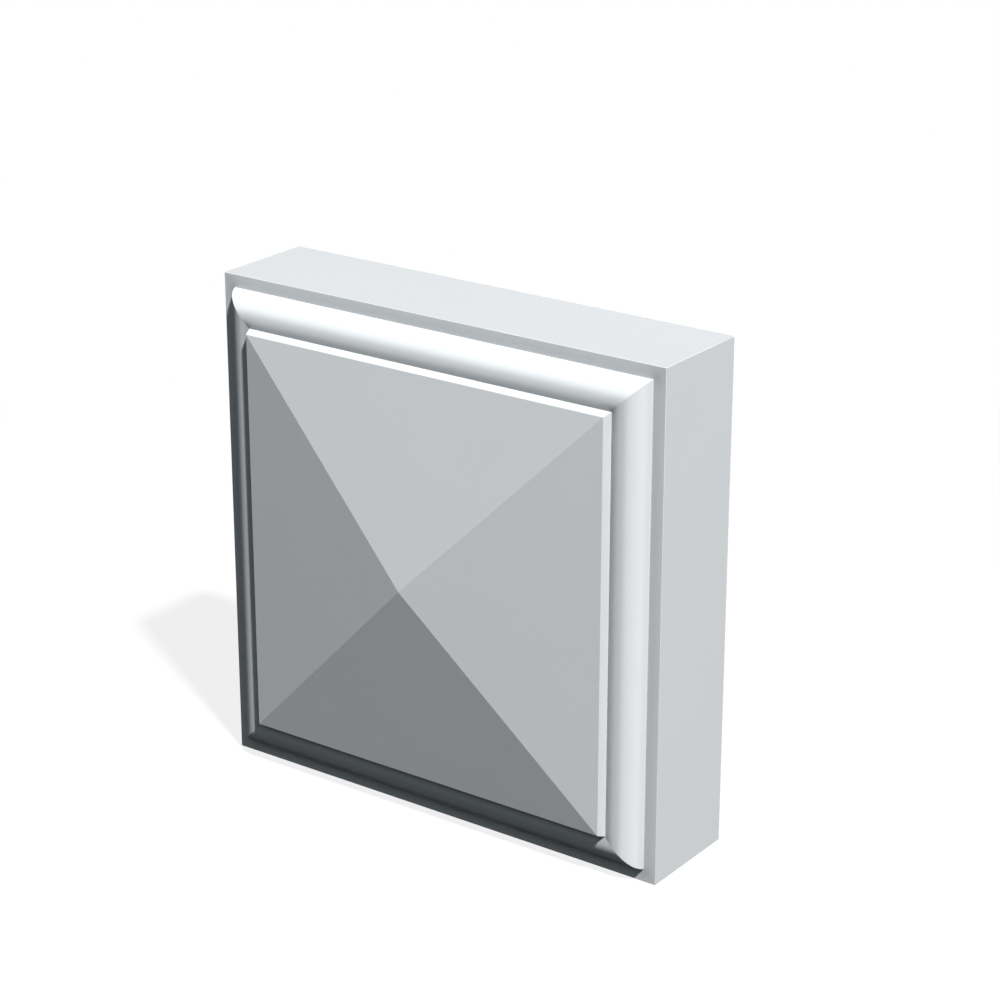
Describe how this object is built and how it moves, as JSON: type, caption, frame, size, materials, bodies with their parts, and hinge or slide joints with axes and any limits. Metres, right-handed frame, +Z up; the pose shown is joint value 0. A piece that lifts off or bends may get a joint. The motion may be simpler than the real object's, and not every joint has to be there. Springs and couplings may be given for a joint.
{
  "type": "corner rosette block",
  "caption": "Square trim block with a mitred bead around a low pyramid face and a flat back, fixed to the wall where door or window casings meet at a corner.",
  "frame": {"origin": "centre of the flat back face, which lies against the wall", "axes": "+Z up as the block stands, -Y out of the wall towards the viewer, +X to the right seen from the front"},
  "size_m": [0.1142, 0.0385, 0.1142],
  "materials": {
    "white_primer": "smooth factory primer, cool white, matt to eggshell"
  },
  "bodies": {
    "root": {"rosette_block": "white_primer"}
  },
  "joints": []
}
